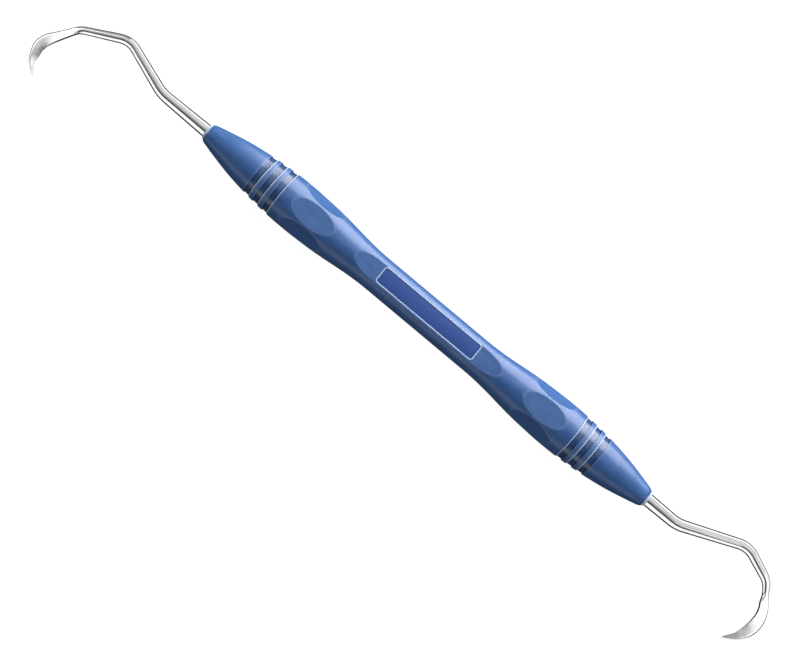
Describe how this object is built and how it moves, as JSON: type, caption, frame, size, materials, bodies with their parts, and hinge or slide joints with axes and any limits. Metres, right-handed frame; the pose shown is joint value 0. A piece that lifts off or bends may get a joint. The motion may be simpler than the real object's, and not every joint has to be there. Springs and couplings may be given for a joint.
{
  "type": "hand scaler",
  "caption": "Double-ended dental hand scaler: moulded resin handle with finger scoops and grip grooves, bent steel necks and hooked ground blades.",
  "frame": {"origin": "middle of the handle's waist, on the handle's axis", "axes": "+X along the handle towards the short-necked end, +Y the side that both necks hump towards, +Z the way the name plate faces"},
  "size_m": [0.1757, 0.0192, 0.0098],
  "materials": {
    "handle_resin": "fine satin, moulded",
    "frame_resin": "pale, glossy",
    "plate_resin": "satin",
    "turned_steel": "turned stainless steel",
    "seal_silicone": "translucent silicone",
    "polished_steel": "bright polished stainless steel"
  },
  "bodies": {
    "root": {"grip_body": "handle_resin", "plate_frame": "frame_resin", "name_plate": "plate_resin", "core_tube": "turned_steel", "left_tang_bush": "turned_steel", "right_tang_bush": "turned_steel", "left_seal_ring": "seal_silicone", "right_seal_ring": "seal_silicone", "left_working_end": "polished_steel", "right_working_end": "polished_steel"}
  },
  "joints": []
}
